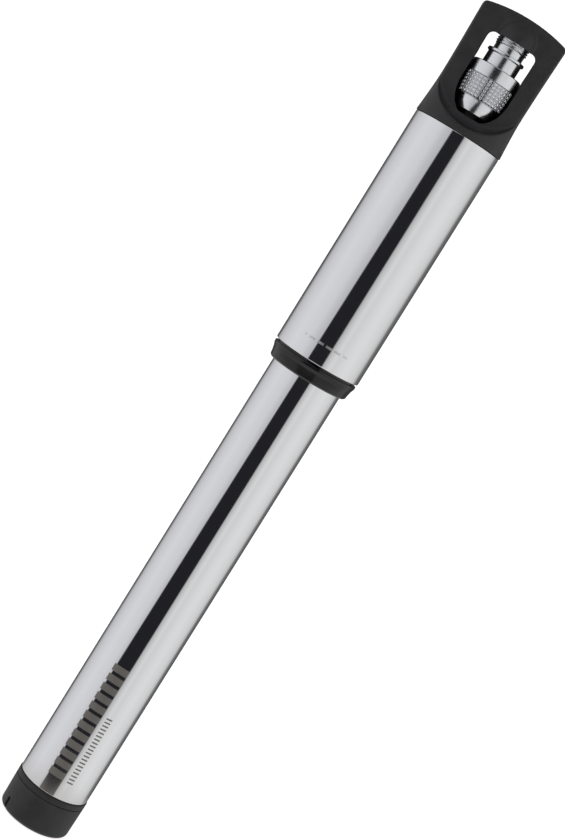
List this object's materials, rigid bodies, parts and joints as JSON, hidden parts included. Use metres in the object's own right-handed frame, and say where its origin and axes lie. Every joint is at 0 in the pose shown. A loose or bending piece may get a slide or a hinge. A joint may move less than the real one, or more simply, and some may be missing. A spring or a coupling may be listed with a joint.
{
  "type": "bicycle mini pump",
  "caption": "Slim telescopic bicycle mini pump: polished tubes, black end cap and collar, and a windowed head that stores a knurled valve connector and its hose.",
  "frame": {"origin": "middle of the end cap's underside, which the pump stands on", "axes": "+Z along the barrel towards the head; -Y is the front, square to the head's flat faces; +X to the right seen from the front"},
  "size_m": [0.0306, 0.0306, 0.3011],
  "materials": {
    "polished_tube": "mirror polished tube with faint lengthwise hairlines",
    "black_composite": "matte moulded, fine grain",
    "bush_plastic": "natural acetal",
    "seal_rubber": "matte",
    "hose_rubber": "satin braided-look rubber",
    "rod_steel": "ground",
    "fitting_brass": "turned",
    "connector_metal": "bright turned and knurled"
  },
  "bodies": {
    "barrel": {"barrel_tube": "polished_tube", "end_cap": "black_composite", "end_ring": "black_composite", "cap_seal": "seal_rubber", "bottom_bumper": "seal_rubber", "rod_guide": "bush_plastic", "rod_wiper": "seal_rubber", "top_bumper": "seal_rubber"},
    "handle": {"handle_tube": "polished_tube", "handle_collar": "black_composite", "collar_wiper": "seal_rubber", "pump_head": "black_composite", "head_seal": "seal_rubber", "socket_insert": "fitting_brass", "piston_rod": "rod_steel", "rod_nut": "rod_steel", "hose_stop_bush": "fitting_brass", "piston": "bush_plastic", "piston_seal": "seal_rubber", "piston_guide_ring": "bush_plastic", "valve_retainer": "fitting_brass", "valve_spring": "rod_steel"},
    "poppet": {"valve_poppet": "seal_rubber"},
    "hose": {"hose": "hose_rubber", "hose_plug": "fitting_brass", "plug_seal": "seal_rubber", "hose_ferrule": "rod_steel", "hose_nipple": "fitting_brass"},
    "connector": {"connector_core": "connector_metal", "valve_gasket": "seal_rubber", "swivel_clip": "rod_steel", "sleeve_clip": "rod_steel"},
    "sleeve": {"knurled_sleeve": "connector_metal"},
    "jaw_1": {"grip_jaw_1": "rod_steel"},
    "jaw_2": {"grip_jaw_2": "rod_steel"},
    "jaw_3": {"grip_jaw_3": "rod_steel"}
  },
  "joints": [
    {"name": "handle_slide", "type": "slide", "parent": "barrel", "child": "handle", "axis": [0, 0, 1], "range_m": [0, 0.184]},
    {"name": "check_valve_lift", "type": "slide", "parent": "handle", "child": "poppet", "axis": [0, 0, 1], "range_m": [0, 0.001], "stiffness_N_per_m": 120, "springref_m": -0.002, "deforming": ["valve_spring"]},
    {"name": "hose_drop", "type": "slide", "parent": "handle", "child": "hose", "axis": [0, 0, -1], "range_m": [0, 0.0012]},
    {"name": "connector_turn", "type": "hinge", "parent": "hose", "child": "connector", "pos_m": [0, 0, 0.28], "axis": [0, 0, -1], "range_deg": [0, 540]},
    {"name": "sleeve_slide", "type": "slide", "parent": "connector", "child": "sleeve", "axis": [0, 0, 1], "range_m": [0, 0.0022]},
    {"name": "jaw_1_close", "type": "slide", "parent": "connector", "child": "jaw_1", "axis": [0, 1, 0], "range_m": [0, 0.00067]},
    {"name": "jaw_2_close", "type": "slide", "parent": "connector", "child": "jaw_2", "axis": [-0.866, -0.5, 0], "range_m": [0, 0.00067]},
    {"name": "jaw_3_close", "type": "slide", "parent": "connector", "child": "jaw_3", "axis": [0.866, -0.5, 0], "range_m": [0, 0.00067]}
  ],
  "couplings": [
    {"joint": "connector_turn", "follows": "hose_drop", "rad_per_m": 7854},
    {"joint": "jaw_1_close", "follows": "sleeve_slide", "ratio": 0.3},
    {"joint": "jaw_2_close", "follows": "sleeve_slide", "ratio": 0.3},
    {"joint": "jaw_3_close", "follows": "sleeve_slide", "ratio": 0.3}
  ]
}
